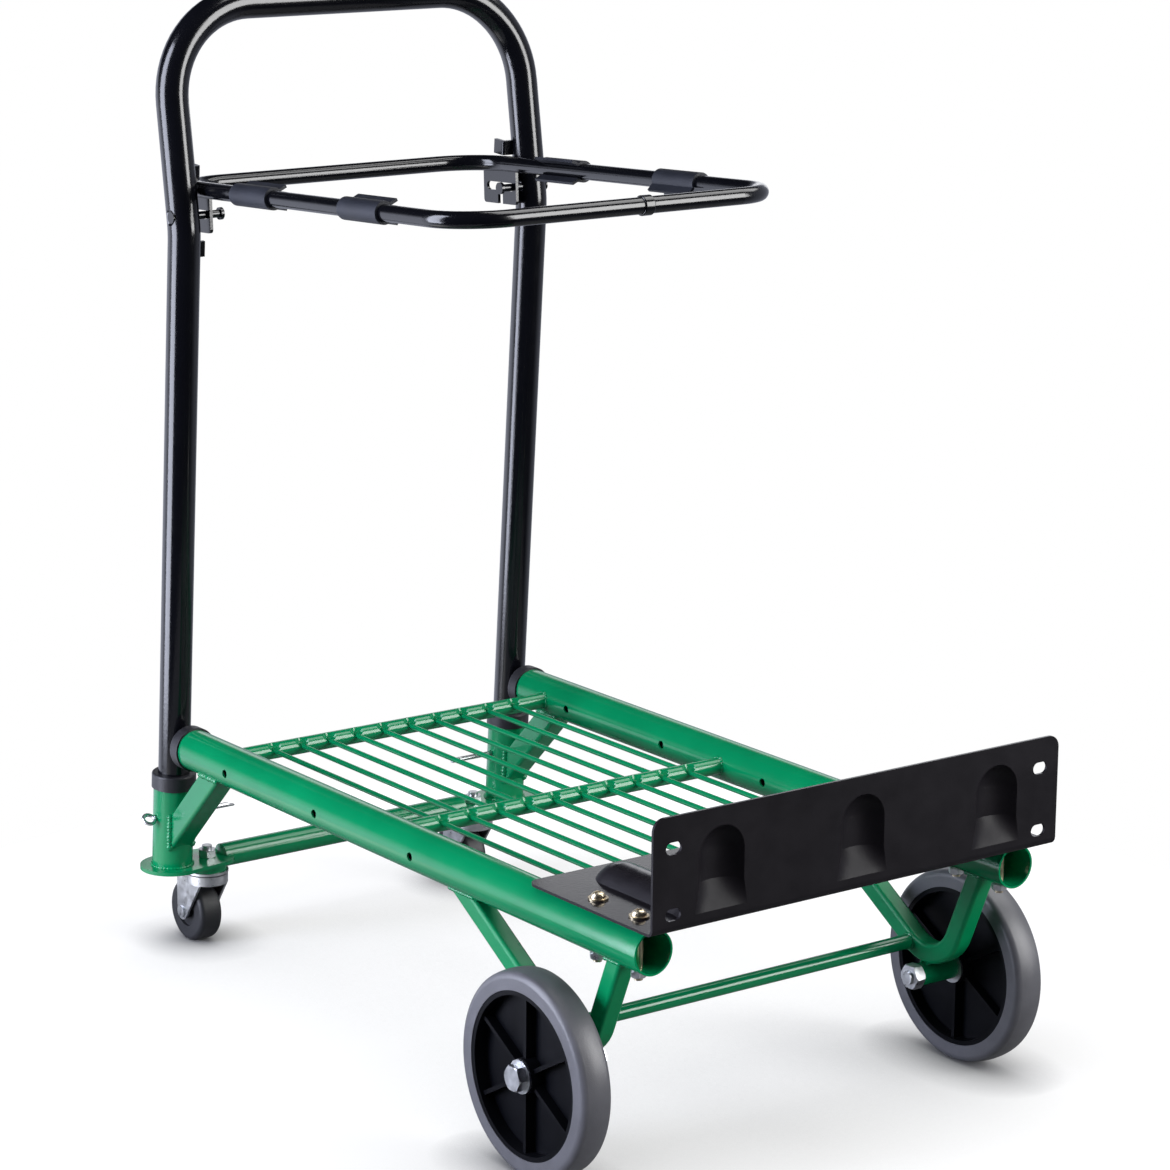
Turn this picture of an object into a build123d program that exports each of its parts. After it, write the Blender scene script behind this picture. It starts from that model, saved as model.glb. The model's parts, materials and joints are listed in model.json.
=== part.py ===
from build123d import *
from math import cos, radians, sin, sqrt, tan
import os

# Folding hand truck, set up as a platform trolley with a bag frame on its handle.
# Millimetres, +Z up, +X to the right as seen from the front, front towards -Y.
# The origin is on the floor, under the middle of the whole truck.

# Tube and rod stock
rail_diameter = 32.0
handle_diameter = 25.0
bag_tube_diameter = 12.5
cross_bar_diameter = 13.0
lower_tube_diameter = 19.0
tie_rod_diameter = 11.0
wire_diameter = 4.0
tube_wall = 1.5
small_tube_wall = 1.2
gusset_side = 20.0
bracket_side = 15.0
square_corner = 3.0

# Deck, with distances ahead of the handle's centre line
rail_spacing = 323.0
rail_height = 176.4
rail_rear_reach = 39.5
rail_front_setback = 21.0
rail_hole_diameter = 6.5
rail_hole_first_reach = 109.0
rail_hole_pitch = 126.8
rail_hole_count = 3
cross_bar_names = ["rear", "middle", "front"]
cross_bar_first_reach = 75.4
cross_bar_pitch = 232.1
wire_count = 10
wire_pitch = 25.4
wire_rise = 1.0
dimple_radius = 7.0
dimple_depth = 3.2
dimple_angle = 50.0

# Upright sockets and casters
upright_lean = 4.0
socket_length = 65.5
ring_diameter = 35.0
ring_height = 12.0
ring_spigot = 18.0
ring_edge = 1.5
rail_ring_length = 11.0
gusset_angle = 45.0
gusset_foot_height = 32.2
plate_thickness = 3.0
plate_socket_radius = 25.5
plate_caster_radius = 22.0
caster_inset = 32.0
caster_height = 70.4
caster_wheel_diameter = 50.0
caster_wheel_width = 20.0
caster_trail = 18.0
stem_diameter = 8.0
stem_head_diameter = 14.0
stem_head_height = 4.0
stem_nut_flats = 13.0
stem_nut_height = 6.5
stem_tip = 3.0
collar_diameter = 31.0
collar_height = 7.2
race_diameter = 34.0
race_thickness = 2.0
race_gap = 1.0
crown_diameter = 33.0
crown_height = 7.5
fork_sheet = 2.0
cheek_foot_radius = 7.0
cheek_clearance = 1.5
caster_axle_diameter = 6.0
caster_axle_head = 9.5
caster_axle_head_height = 1.5
caster_hub_recess_radius = 13.0
caster_hub_recess = 2.5
caster_shoulder = 4.0

# Front wheels and their brackets
wheel_diameter = 146.0
wheel_width = 24.6
wheel_spacing = 389.4
axle_reach = 541.8
tyre_section = 13.6
tyre_shoulder = 5.0
tyre_crown = 2.0
rim_thickness = 3.5
rim_setback = 0.5
web_thickness = 4.0
boss_diameter = 25.0
hub_rib_count = 6
hub_rib_thickness = 3.0
hub_rib_setback = 2.5
axle_diameter = 10.0
axle_head_flats = 17.0
axle_head_height = 6.5
axle_nut_height = 8.4
axle_tip = 2.5
hexagon_chamfer = 1.0
axle_washer_diameter = 24.0
axle_washer_thickness = 1.5
sleeve_diameter = 17.0
sleeve_length = 32.0
bracket_offset = 33.2
bracket_bend = 31.6
rear_leg_angle = 31.5
front_leg_angle = 67.6

# Toe plate
toe_thickness = 2.0
toe_width = 358.0
toe_height = 80.8
toe_front_reach = 649.0
toe_depth = 141.0
toe_bend = 4.5
toe_corner = 9.0
toe_rib_pitch = 121.7
toe_rib_width = 38.0
toe_rib_height = 11.0
toe_rib_rear_inset = 14.5
toe_rib_top_inset = 13.0
toe_rib_bend_inset = 8.0
toe_rib_runout = 18.0
toe_rib_foot_width = 44.0
toe_rib_foot_height = 0.4
toe_rib_roundness = 5.9
toe_slot_length = 13.0
toe_slot_height = 8.5
toe_slot_inset = 17.0
toe_slot_low = 13.4
toe_slot_rise = 45.5
toe_bolt_setback = 82.6
toe_bolt_pitch = 45.5
toe_bolt_diameter = 6.0
toe_bolt_head = 10.5
toe_bolt_head_height = 4.0
toe_bolt_tip = 2.0
toe_bolt_cross_length = 5.5
toe_bolt_cross_width = 1.2
toe_bolt_cross_depth = 1.6
toe_saddle_diameter = 15.0
toe_saddle_height = 3.0
toe_washer_diameter = 14.0
toe_washer_thickness = 1.2
toe_nut_flats = 10.0
toe_nut_height = 5.0

# Handle
handle_foot_gap = 8.0
kink_rise = 511.2
kink_bend = 70.0
handle_lean = 12.6
loop_length = 169.0
handle_corner = 73.0
dent_radius = 11.0
dent_depth = 2.2

# Pivot studs and stops on the handle
stud_rise = 522.7
stud_diameter = 6.0
stud_head_diameter = 9.5
stud_head_thickness = 2.5
stud_reach = 20.0
stud_rivet_diameter = 9.0
stud_rivet_thickness = 2.0
tab_thickness = 3.0
tab_bend = 2.5
tab_height = 11.5
tab_return = 10.0
lug_drop = 20.0
lug_height = 12.0
lug_reach = 5.0

# Bag frame, in its own plane, which rises a little towards the front
bag_side_gap = 0.75
bag_tilt = 6.75
bag_rise = 18.4
bag_rear_reach = 47.7
bag_front_reach = 342.0
bag_corner = 40.0
bag_joint_offset = 16.0
bag_joint_gap = 1.0
joint_ring_width = 9.0
joint_ring_thickness = 1.2
joint_ring_edge = 1.0
hanger_thickness = 2.5
hanger_front = 6.5
hanger_rear = 38.0
hanger_drop = 14.0
hanger_corner = 3.0
hanger_seat = 1.0
slot_height = 6.6
slot_length = 37.0
clip_length = 50.0
clip_wall = 2.2
clip_opening = 100.0
clip_lip = 7.0
clip_lip_flare = 25.0
clip_first_reach = 72.6
clip_pitch = 148.0
turned_clip_angle = 70.0

# Lock pins
pin_rise = 41.0
pin_diameter = 4.0
pin_length = 73.0
pin_slit = 0.5
pin_tip_step = 5.0
pin_eye_radius = 4.6
pin_eye_wire = 3.0
pin_eye_turn = 30.0
pin_hole_diameter = 5.0

# Clearances
slip_gap = 0.3
running_gap = 0.05
clip_gap = 0.08
hole_gap = 0.1
stop_gap = 0.35

# Places worked out from the sizes above
rail_x = rail_spacing / 2
rail_radius = rail_diameter / 2
rail_bore = rail_diameter - 2 * tube_wall
rail_front_reach = toe_front_reach - rail_front_setback
rail_length = rail_front_reach - rail_rear_reach
rail_top = rail_height + rail_radius
handle_x = rail_x
handle_radius = handle_diameter / 2
bag_tube_radius = bag_tube_diameter / 2
bag_x = handle_x - handle_radius - bag_side_gap - bag_tube_radius
caster_rear_reach = caster_trail + caster_wheel_diameter / 2
handle_y = (toe_front_reach - caster_rear_reach) / 2
plate_top = caster_height + plate_thickness
socket_top = plate_top + socket_length
pin_height = plate_top + pin_rise
kink_height = plate_top + kink_rise
stud_height = plate_top + stud_rise
lean_axis = Axis((0, handle_y, plate_top), (1, 0, 0))
caster_x = handle_x - caster_inset
axle_y = handle_y - axle_reach
axle_height = wheel_diameter / 2
wheel_x = wheel_spacing / 2
bracket_x = wheel_x - bracket_offset
boss_length = wheel_width - 2 * rim_setback
boss_inner_x = wheel_x - boss_length / 2
boss_outer_x = wheel_x + boss_length / 2
sleeve_outer_x = boss_inner_x - slip_gap - axle_washer_thickness
sleeve_inner_x = sleeve_outer_x - sleeve_length
bore_diameter = axle_diameter + 2 * running_gap
cross_bar_reaches = [cross_bar_first_reach + cross_bar_pitch * step for step in range(len(cross_bar_names))]
wire_height = rail_height + wire_rise
toe_bottom = rail_top + toe_saddle_height
toe_top = toe_bottom + toe_thickness
toe_rear_reach = toe_front_reach - toe_depth
toe_bolt_first_reach = toe_front_reach - toe_bolt_setback
toe_bolt_reaches = [toe_bolt_first_reach, toe_bolt_first_reach + toe_bolt_pitch]
lean_up = (0, sin(radians(handle_lean)), cos(radians(handle_lean)))


def ahead(reach):
    """Y of a place this far ahead of the handle's centre line."""
    return handle_y - reach


def level(height, x=0.0, y=0.0):
    """Plane facing up, with local x along X and local y along Y."""
    return Plane(origin=(x, y, height))


def facing_right(x, y=0.0, z=0.0):
    """Plane facing +X, with local x along Y and local y along Z."""
    return Plane(origin=(x, y, z), x_dir=(0, 1, 0), z_dir=(1, 0, 0))


def facing_front(y, x=0.0, z=0.0):
    """Plane facing -Y, with local x along X and local y along Z."""
    return Plane(origin=(x, y, z), x_dir=(1, 0, 0), z_dir=(0, -1, 0))


def ring(outer_diameter, inner_diameter):
    """Add a ring to the sketch that is open."""
    Circle(outer_diameter / 2)
    Circle(inner_diameter / 2, mode=Mode.SUBTRACT)


def hexagon(flats):
    """Add a hexagon of this width across flats to the sketch that is open."""
    RegularPolygon(flats / 2, 6, major_radius=False)


def hexagon_piece(flats, plane, height):
    """A hexagonal head or nut with its corners turned off at both ends."""
    with BuildPart() as blank:
        with BuildSketch(plane):
            Circle(flats / sqrt(3))
        extrude(amount=height)
        chamfer(blank.edges().filter_by(GeomType.CIRCLE), hexagon_chamfer)
    with BuildPart() as piece:
        with BuildSketch(plane):
            hexagon(flats)
        extrude(amount=height)
        add(blank.part, mode=Mode.INTERSECT)
    return piece


def leaned(piece):
    """A piece built upright, tilted forward as the uprights are."""
    with BuildPart() as tilted:
        add(piece.part.rotate(lean_axis, upright_lean))
    return tilted


def square_tube(side, wall):
    """Add a square tube's section with rounded corners to the sketch that is open."""
    RectangleRounded(side, side, square_corner)
    inner_side = side - 2 * wall
    RectangleRounded(inner_side, inner_side, square_corner - wall, mode=Mode.SUBTRACT)


def save(piece, name):
    """Label a finished piece and write its file."""
    piece.part.label = name
    export_step(piece.part, f"parts/{name}.step")


def save_pair(piece, name):
    """Write a right-hand piece and its mirror image as two pieces."""
    with BuildPart() as left_piece:
        mirror(piece.part, about=Plane.YZ)
    save(piece, f"{name}_right")
    save(left_piece, f"{name}_left")


def save_both(piece, name):
    """Write a right-hand piece and its mirror image together."""
    with BuildPart() as both_sides:
        add(piece.part)
        mirror(piece.part, about=Plane.YZ)
    save(both_sides, name)


os.makedirs("parts", exist_ok=True)

# Side rails: open tubes with three holes through their sides and the toe plate's bolt holes
with BuildPart() as side_rail:
    with BuildSketch(facing_front(ahead(rail_rear_reach), rail_x, rail_height)):
        ring(rail_diameter, rail_bore)
    extrude(amount=rail_length)
    with BuildSketch(facing_right(0, ahead(rail_hole_first_reach), rail_height)):
        with Locations(*[(-rail_hole_pitch * step, 0) for step in range(rail_hole_count)]):
            Circle(rail_hole_diameter / 2)
    extrude(amount=rail_x + rail_diameter, mode=Mode.SUBTRACT)
    with BuildSketch(level(0, rail_x)):
        with Locations(*[(0, ahead(reach)) for reach in toe_bolt_reaches]):
            Circle(toe_bolt_diameter / 2 + hole_gap)
    extrude(amount=rail_top + rail_radius, mode=Mode.SUBTRACT)
save_pair(side_rail, "side_rail")

# The rails' full round, used to cut the saddle ends of what is welded to them
with BuildPart() as rail_solid:
    with BuildSketch(facing_front(ahead(0), 0, rail_height)):
        with Locations((rail_x, 0), (-rail_x, 0)):
            Circle(rail_radius)
    extrude(amount=rail_front_reach)

# Cross bars: tubes punched down over each wire, which runs through the dimpled wall
dimple_places = [(wire_pitch * (index - (wire_count - 1) / 2), 0) for index in range(wire_count)]
dimple_throw = cross_bar_diameter / 2 + dimple_radius - dimple_depth
for bar_name, bar_reach in zip(cross_bar_names, cross_bar_reaches):
    dimple_plane = Plane(
        origin=(
            0,
            ahead(bar_reach) - dimple_throw * cos(radians(dimple_angle)),
            rail_height + dimple_throw * sin(radians(dimple_angle)),
        )
    )
    with BuildPart() as bar_core:
        with BuildSketch(facing_right(-rail_x, ahead(bar_reach), rail_height)):
            Circle(cross_bar_diameter / 2 - small_tube_wall)
        extrude(amount=rail_spacing)
        with Locations(dimple_plane):
            with Locations(*dimple_places):
                Sphere(dimple_radius + small_tube_wall, mode=Mode.SUBTRACT)
    with BuildPart() as cross_bar:
        with BuildSketch(facing_right(-rail_x, ahead(bar_reach), rail_height)):
            Circle(cross_bar_diameter / 2)
        extrude(amount=rail_spacing)
        with Locations(dimple_plane):
            with Locations(*dimple_places):
                Sphere(dimple_radius, mode=Mode.SUBTRACT)
        add(bar_core.part, mode=Mode.SUBTRACT)
        with BuildSketch(facing_front(ahead(bar_reach - cross_bar_diameter), 0, wire_height)):
            with Locations(*dimple_places):
                Circle(wire_diameter / 2 + hole_gap)
        extrude(amount=2 * cross_bar_diameter, mode=Mode.SUBTRACT)
        add(rail_solid.part, mode=Mode.SUBTRACT)
    save(cross_bar, f"{bar_name}_cross_bar")

# Deck wires: straight rods from the rear bar to the front bar
with BuildPart() as deck_wires:
    with BuildSketch(facing_front(ahead(cross_bar_reaches[0]), 0, wire_height)):
        with Locations(*dimple_places):
            Circle(wire_diameter / 2)
    extrude(amount=cross_bar_reaches[-1] - cross_bar_reaches[0])
save(deck_wires, "deck_wires")

# Upright sockets, each drilled across for its lock pin and cut off level with its plate
socket_foot = plate_top - handle_radius
with BuildPart() as socket_tube:
    with BuildSketch(level(socket_foot, handle_x, handle_y)):
        ring(rail_diameter, rail_bore)
    extrude(amount=socket_top - socket_foot)
    with BuildSketch(facing_right(0, handle_y, pin_height)):
        Circle(pin_hole_diameter / 2)
    extrude(amount=rail_spacing, mode=Mode.SUBTRACT)

with BuildPart() as socket:
    add(leaned(socket_tube).part)
    with BuildSketch(level(plate_top, handle_x, handle_y)):
        Rectangle(2 * rail_diameter, 2 * rail_diameter)
    extrude(amount=-rail_diameter, mode=Mode.SUBTRACT)
save_pair(socket, "socket")

# A socket's full round, used to cut the gusset's saddle end
with BuildPart() as socket_solid:
    with BuildSketch(level(socket_foot, handle_x, handle_y)):
        Circle(rail_radius)
    extrude(amount=socket_top - socket_foot)

# Gussets: slanting square tubes from the sockets up to the rails, with saddle ends
gusset_base = plate_top + gusset_foot_height - rail_radius * tan(radians(gusset_angle))
gusset_length = (rail_height - gusset_base) / sin(radians(gusset_angle))
with BuildPart() as gusset:
    gusset_plane = Plane(
        origin=(rail_x, handle_y, gusset_base),
        x_dir=(1, 0, 0),
        z_dir=(0, -cos(radians(gusset_angle)), sin(radians(gusset_angle))),
    )
    with BuildSketch(gusset_plane):
        square_tube(gusset_side, tube_wall)
    extrude(amount=gusset_length)
    add(rail_solid.part, mode=Mode.SUBTRACT)
    add(leaned(socket_solid).part, mode=Mode.SUBTRACT)
save_pair(gusset, "gusset")

# Caster plates: teardrop plates under the sockets, each with a collar for its caster
with BuildPart() as caster_plate:
    with BuildSketch(level(caster_height, 0, handle_y)):
        with Locations((handle_x, 0)):
            Circle(plate_socket_radius)
        with Locations((caster_x, 0)):
            Circle(plate_caster_radius)
        make_hull()
        with Locations((caster_x, 0)):
            Circle(stem_diameter / 2 + hole_gap, mode=Mode.SUBTRACT)
    extrude(amount=plate_thickness)
    with BuildSketch(level(caster_height, caster_x, handle_y)):
        ring(collar_diameter, stem_diameter + 2 * hole_gap)
    extrude(amount=-collar_height)
save_pair(caster_plate, "caster_plate")

# Lower cross tube, sawn to slip over the caster plates' inner ends and cut back to clear the casters
lower_tube_x = caster_x - stem_nut_flats
with BuildPart() as lower_cross_tube:
    with BuildSketch(facing_right(-lower_tube_x, handle_y, caster_height + plate_thickness / 2)):
        ring(lower_tube_diameter, lower_tube_diameter - 2 * tube_wall)
    extrude(amount=2 * lower_tube_x)
    add(caster_plate.part, mode=Mode.SUBTRACT)
    mirror(caster_plate.part, about=Plane.YZ, mode=Mode.SUBTRACT)
    with BuildSketch(level(caster_height - collar_height, 0, handle_y)):
        with Locations((caster_x, 0), (-caster_x, 0)):
            Circle(race_diameter / 2 + 2 * slip_gap)
    extrude(amount=-lower_tube_diameter, mode=Mode.SUBTRACT)
save(lower_cross_tube, "lower_cross_tube")

# Plastic end rings: each has a spigot inside its tube and a bore for the handle
ring_bore = handle_diameter + 2 * hole_gap
spigot_diameter = rail_bore - 2 * hole_gap
with BuildPart() as socket_ring:
    with BuildSketch(level(socket_top, handle_x, handle_y)):
        ring(ring_diameter, ring_bore)
    extrude(amount=ring_height)
    top_edges = socket_ring.edges().filter_by(GeomType.CIRCLE).group_by(Axis.Z)[-1]
    fillet(top_edges.sort_by(SortBy.RADIUS)[-1], ring_edge)
    with BuildSketch(level(socket_top, handle_x, handle_y)):
        ring(spigot_diameter, ring_bore)
    extrude(amount=-ring_spigot)
save_pair(leaned(socket_ring), "socket_ring")

with BuildPart() as rail_ring:
    with BuildSketch(facing_front(ahead(rail_rear_reach), rail_x, rail_height)):
        ring(ring_diameter, ring_bore)
    extrude(amount=-rail_ring_length)
    rear_edges = rail_ring.edges().filter_by(GeomType.CIRCLE).group_by(Axis.Y)[-1]
    fillet(rear_edges.sort_by(SortBy.RADIUS)[-1], ring_edge)
    with BuildSketch(facing_front(ahead(rail_rear_reach), rail_x, rail_height)):
        ring(spigot_diameter, ring_bore)
    extrude(amount=ring_spigot)
save_pair(rail_ring, "rail_ring")

# Wheel brackets: square tubes bent to a V, whose legs end in saddles under the rails
rear_lean = radians(rear_leg_angle)
front_lean = radians(front_leg_angle)
bend_height = axle_height + sleeve_diameter / 2 + bracket_side / 2 + bracket_bend
rear_bend = (axle_y + bracket_bend * sin(rear_lean), bend_height - bracket_bend * cos(rear_lean))
front_bend = (axle_y - bracket_bend * sin(front_lean), bend_height - bracket_bend * cos(front_lean))
rear_top = (rear_bend[0] + (rail_height - rear_bend[1]) / tan(rear_lean), rail_height)
front_top = (front_bend[0] - (rail_height - front_bend[1]) / tan(front_lean), rail_height)
with BuildPart() as wheel_bracket:
    with BuildLine(facing_right(bracket_x)) as bracket_path:
        Line(rear_top, rear_bend)
        ThreePointArc(rear_bend, (axle_y, bend_height - bracket_bend), front_bend)
        Line(front_bend, front_top)
    with BuildSketch(Plane(origin=bracket_path.line @ 0, x_dir=(1, 0, 0), z_dir=bracket_path.line % 0)):
        square_tube(bracket_side, tube_wall)
    sweep()
    add(rail_solid.part, mode=Mode.SUBTRACT)
save_pair(wheel_bracket, "wheel_bracket")

# Axle sleeves, welded under the brackets
with BuildPart() as axle_sleeve:
    with BuildSketch(facing_right(sleeve_inner_x, axle_y, axle_height)):
        ring(sleeve_diameter, axle_diameter + 2 * hole_gap)
    extrude(amount=sleeve_length)
save_pair(axle_sleeve, "axle_sleeve")

# Tie rod between the rear legs, just above their bend
tie_rod_x = bracket_x - bracket_side / 2
with BuildPart() as tie_rod:
    with BuildSketch(facing_right(-tie_rod_x, *rear_bend)):
        Circle(tie_rod_diameter / 2)
    extrude(amount=2 * tie_rod_x)
save(tie_rod, "tie_rod")

# Toe plate: a bent sheet, stiffened by three ribs pressed into each leg
# Each rib starts as a round dome and runs out flat just before the bend
floor_rib_start = toe_rib_rear_inset + toe_rib_width / 2
face_rib_start = toe_rib_top_inset + toe_rib_width / 2
rib_end_inset = toe_thickness + toe_rib_bend_inset
floor_rib_length = toe_depth - floor_rib_start - rib_end_inset
face_rib_length = toe_height - face_rib_start - rib_end_inset
floor_rib_plane = Plane(
    origin=(0, ahead(toe_rear_reach + floor_rib_start), toe_top),
    x_dir=(0, -1, 0),
    z_dir=(0, 0, 1),
)
face_rib_plane = Plane(
    origin=(0, ahead(toe_front_reach - toe_thickness), toe_bottom + toe_height - face_rib_start),
    x_dir=(0, 0, -1),
    z_dir=(0, 1, 0),
)
rib_places = [-toe_rib_pitch, 0, toe_rib_pitch]


def half_rib(width, height):
    """The outline of half a rib, from its middle to its edge."""
    with BuildSketch() as outline:
        with BuildLine():
            Spline((0, height), (width / 2, 0), tangents=[(1, 0), (1, -toe_rib_roundness * height / width)])
            Polyline((width / 2, 0), (width / 2, -toe_thickness / 2), (0, -toe_thickness / 2), (0, height))
        make_face()
    return outline.sketch


def whole_rib(width, height):
    """The outline of a whole rib, made of its two halves."""
    with BuildSketch() as outline:
        add(half_rib(width, height))
        mirror(about=Plane.YZ)
    return outline.sketch


def build_ribs(plane, length):
    """The three ribs of one leg, standing on this plane and running along its x axis."""
    dome_plane = Plane(origin=plane.origin, x_dir=plane.y_dir, z_dir=plane.x_dir)
    with BuildPart() as rib:
        with BuildSketch(dome_plane):
            add(half_rib(toe_rib_width, toe_rib_height))
        revolve(axis=Axis(plane.origin, plane.z_dir), revolution_arc=180)
        with BuildSketch(dome_plane):
            add(whole_rib(toe_rib_width, toe_rib_height))
        extrude(amount=length - toe_rib_runout)
        with BuildSketch(dome_plane.offset(length - toe_rib_runout)):
            add(whole_rib(toe_rib_width, toe_rib_height))
        with BuildSketch(dome_plane.offset(length)):
            add(whole_rib(toe_rib_foot_width, toe_rib_foot_height))
        loft()
    with BuildPart() as ribs:
        for place in rib_places:
            add(rib.part.translate((place, 0, 0)))
    return ribs


floor_ribs = build_ribs(floor_rib_plane, floor_rib_length)
face_ribs = build_ribs(face_rib_plane, face_rib_length)
slot_x = toe_width / 2 - toe_slot_inset
slot_low = toe_bottom + toe_slot_low
with BuildPart() as toe_plate:
    with BuildSketch(facing_right(-toe_width / 2)):
        with BuildLine():
            FilletPolyline(
                (ahead(toe_rear_reach), toe_bottom + toe_thickness / 2),
                (ahead(toe_front_reach - toe_thickness / 2), toe_bottom + toe_thickness / 2),
                (ahead(toe_front_reach - toe_thickness / 2), toe_bottom + toe_height),
                radius=toe_bend,
            )
        trace(line_width=toe_thickness)
    extrude(amount=toe_width)
    fillet(toe_plate.edges().filter_by(Axis.Z).group_by(Axis.Y)[-1], toe_corner)
    fillet(toe_plate.edges().filter_by(Axis.Y).group_by(Axis.Z)[-1], toe_corner)
    add(floor_ribs.part)
    add(face_ribs.part)
    add(floor_ribs.part.translate((0, 0, -toe_thickness)), mode=Mode.SUBTRACT)
    add(face_ribs.part.translate((0, -toe_thickness, 0)), mode=Mode.SUBTRACT)
    with BuildSketch(facing_front(ahead(toe_front_reach - toe_thickness))):
        with Locations((slot_x, slot_low), (-slot_x, slot_low)):
            SlotOverall(toe_slot_length, toe_slot_height)
        with Locations((slot_x, slot_low + toe_slot_rise), (-slot_x, slot_low + toe_slot_rise)):
            SlotOverall(toe_slot_length, toe_slot_height)
    extrude(amount=toe_thickness, mode=Mode.SUBTRACT)
    with BuildSketch(level(toe_bottom)):
        for reach in toe_bolt_reaches:
            with Locations((rail_x, ahead(reach)), (-rail_x, ahead(reach))):
                Circle(toe_bolt_diameter / 2 + hole_gap)
    extrude(amount=toe_thickness, mode=Mode.SUBTRACT)
save(toe_plate, "toe_plate")

# Saddles between the toe plate and the rounds of the rails
with BuildPart() as toe_saddle_pair:
    with BuildSketch(level(rail_height)):
        with Locations(*[(rail_x, ahead(reach)) for reach in toe_bolt_reaches]):
            ring(toe_saddle_diameter, toe_bolt_diameter + 2 * hole_gap)
    extrude(amount=toe_bottom - rail_height)
    add(rail_solid.part, mode=Mode.SUBTRACT)
save_both(toe_saddle_pair, "toe_plate_saddles")

# Toe plate fasteners: domed bolts down through the rails, with nuts underneath
washer_top = toe_top + toe_washer_thickness
nut_top = rail_height - rail_radius
bolt_end = nut_top - toe_nut_height - toe_bolt_tip
with BuildPart() as toe_bolt_pair:
    for reach in toe_bolt_reaches:
        with BuildSketch(Plane(origin=(rail_x, ahead(reach), 0), x_dir=(1, 0, 0), z_dir=(0, -1, 0))):
            with BuildLine():
                Line((0, bolt_end), (toe_bolt_diameter / 2, bolt_end))
                Line((toe_bolt_diameter / 2, bolt_end), (toe_bolt_diameter / 2, washer_top))
                Line((toe_bolt_diameter / 2, washer_top), (toe_bolt_head / 2, washer_top))
                JernArc((toe_bolt_head / 2, washer_top), (0, 1), toe_bolt_head_height, 90)
                Line(
                    (toe_bolt_head / 2 - toe_bolt_head_height, washer_top + toe_bolt_head_height),
                    (0, washer_top + toe_bolt_head_height),
                )
                Line((0, washer_top + toe_bolt_head_height), (0, bolt_end))
            make_face()
        revolve(axis=Axis((rail_x, ahead(reach), 0), (0, 0, 1)))
        with BuildSketch(level(washer_top + toe_bolt_head_height, rail_x, ahead(reach))):
            Rectangle(toe_bolt_cross_length, toe_bolt_cross_width)
            Rectangle(toe_bolt_cross_width, toe_bolt_cross_length)
        extrude(amount=-toe_bolt_cross_depth, mode=Mode.SUBTRACT)
save_both(toe_bolt_pair, "toe_plate_bolts")

with BuildPart() as toe_washer_pair:
    with BuildSketch(level(toe_top)):
        with Locations(*[(rail_x, ahead(reach)) for reach in toe_bolt_reaches]):
            ring(toe_washer_diameter, toe_bolt_diameter + 2 * hole_gap)
    extrude(amount=toe_washer_thickness)
save_both(toe_washer_pair, "toe_plate_washers")

with BuildPart() as toe_nut_pair:
    for reach in toe_bolt_reaches:
        nut_plane = level(nut_top - toe_nut_height, rail_x, ahead(reach))
        add(hexagon_piece(toe_nut_flats, nut_plane, toe_nut_height).part)
        with BuildSketch(nut_plane):
            Circle(toe_bolt_diameter / 2 + hole_gap)
        extrude(amount=toe_nut_height, mode=Mode.SUBTRACT)
save_both(toe_nut_pair, "toe_plate_nuts")


# Handle: one tube bent to a U, whose upper loop leans back from a kink by the pivot studs
def on_loop(x, distance):
    """A point of the leaning loop, this far above the kink."""
    return Vector(x, handle_y, kink_height) + Vector(*lean_up) * distance


handle_foot = plate_top + handle_foot_gap
handle_points = [
    (handle_x, handle_y, handle_foot),
    on_loop(handle_x, 0),
    on_loop(handle_x, loop_length),
    on_loop(-handle_x, loop_length),
    on_loop(-handle_x, 0),
    (-handle_x, handle_y, handle_foot),
]
handle_radii = [kink_bend, handle_corner, handle_corner, kink_bend]
dent_x = handle_x + handle_radius + dent_radius - dent_depth


def handle_bar(bar_radius, ball_radius):
    """A round bar along the handle, with its two dents."""
    with BuildPart() as bar:
        with BuildLine():
            FilletPolyline(*handle_points, radius=handle_radii)
        with BuildSketch(level(handle_foot, handle_x, handle_y)):
            Circle(bar_radius)
        sweep()
        with Locations((dent_x, handle_y, stud_height), (-dent_x, handle_y, stud_height)):
            Sphere(ball_radius, mode=Mode.SUBTRACT)
    return bar


with BuildPart() as handle:
    add(handle_bar(handle_radius, dent_radius).part)
    add(handle_bar(handle_radius - tube_wall, dent_radius + tube_wall).part, mode=Mode.SUBTRACT)
    with BuildSketch(facing_right(-rail_spacing, handle_y, stud_height)):
        Circle(stud_diameter / 2 + hole_gap)
    extrude(amount=2 * rail_spacing, mode=Mode.SUBTRACT)
    with BuildSketch(facing_right(-rail_spacing, handle_y, pin_height)):
        Circle(pin_hole_diameter / 2)
    extrude(amount=2 * rail_spacing, mode=Mode.SUBTRACT)
save(leaned(handle), "handle")

# Pivot studs: riveted over in the handle's dents, with a round head at the inner end
rivet_x = handle_x + handle_radius - dent_depth
stud_head_x = handle_x - handle_radius - stud_reach
with BuildPart() as stud_rivet:
    with BuildSketch(facing_right(rivet_x, handle_y, stud_height)):
        Circle(stud_rivet_diameter / 2)
    extrude(amount=stud_rivet_thickness)
    with Locations((dent_x, handle_y, stud_height)):
        Sphere(dent_radius, mode=Mode.INTERSECT)

with BuildPart() as pivot_stud:
    with BuildSketch(facing_right(stud_head_x, handle_y, stud_height)):
        Circle(stud_head_diameter / 2)
    extrude(amount=stud_head_thickness)
    with BuildSketch(facing_right(stud_head_x, handle_y, stud_height)):
        Circle(stud_diameter / 2)
    extrude(amount=rivet_x + stud_rivet_thickness / 2 - stud_head_x)
    add(stud_rivet.part)
save_both(leaned(pivot_stud), "pivot_studs")

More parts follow.
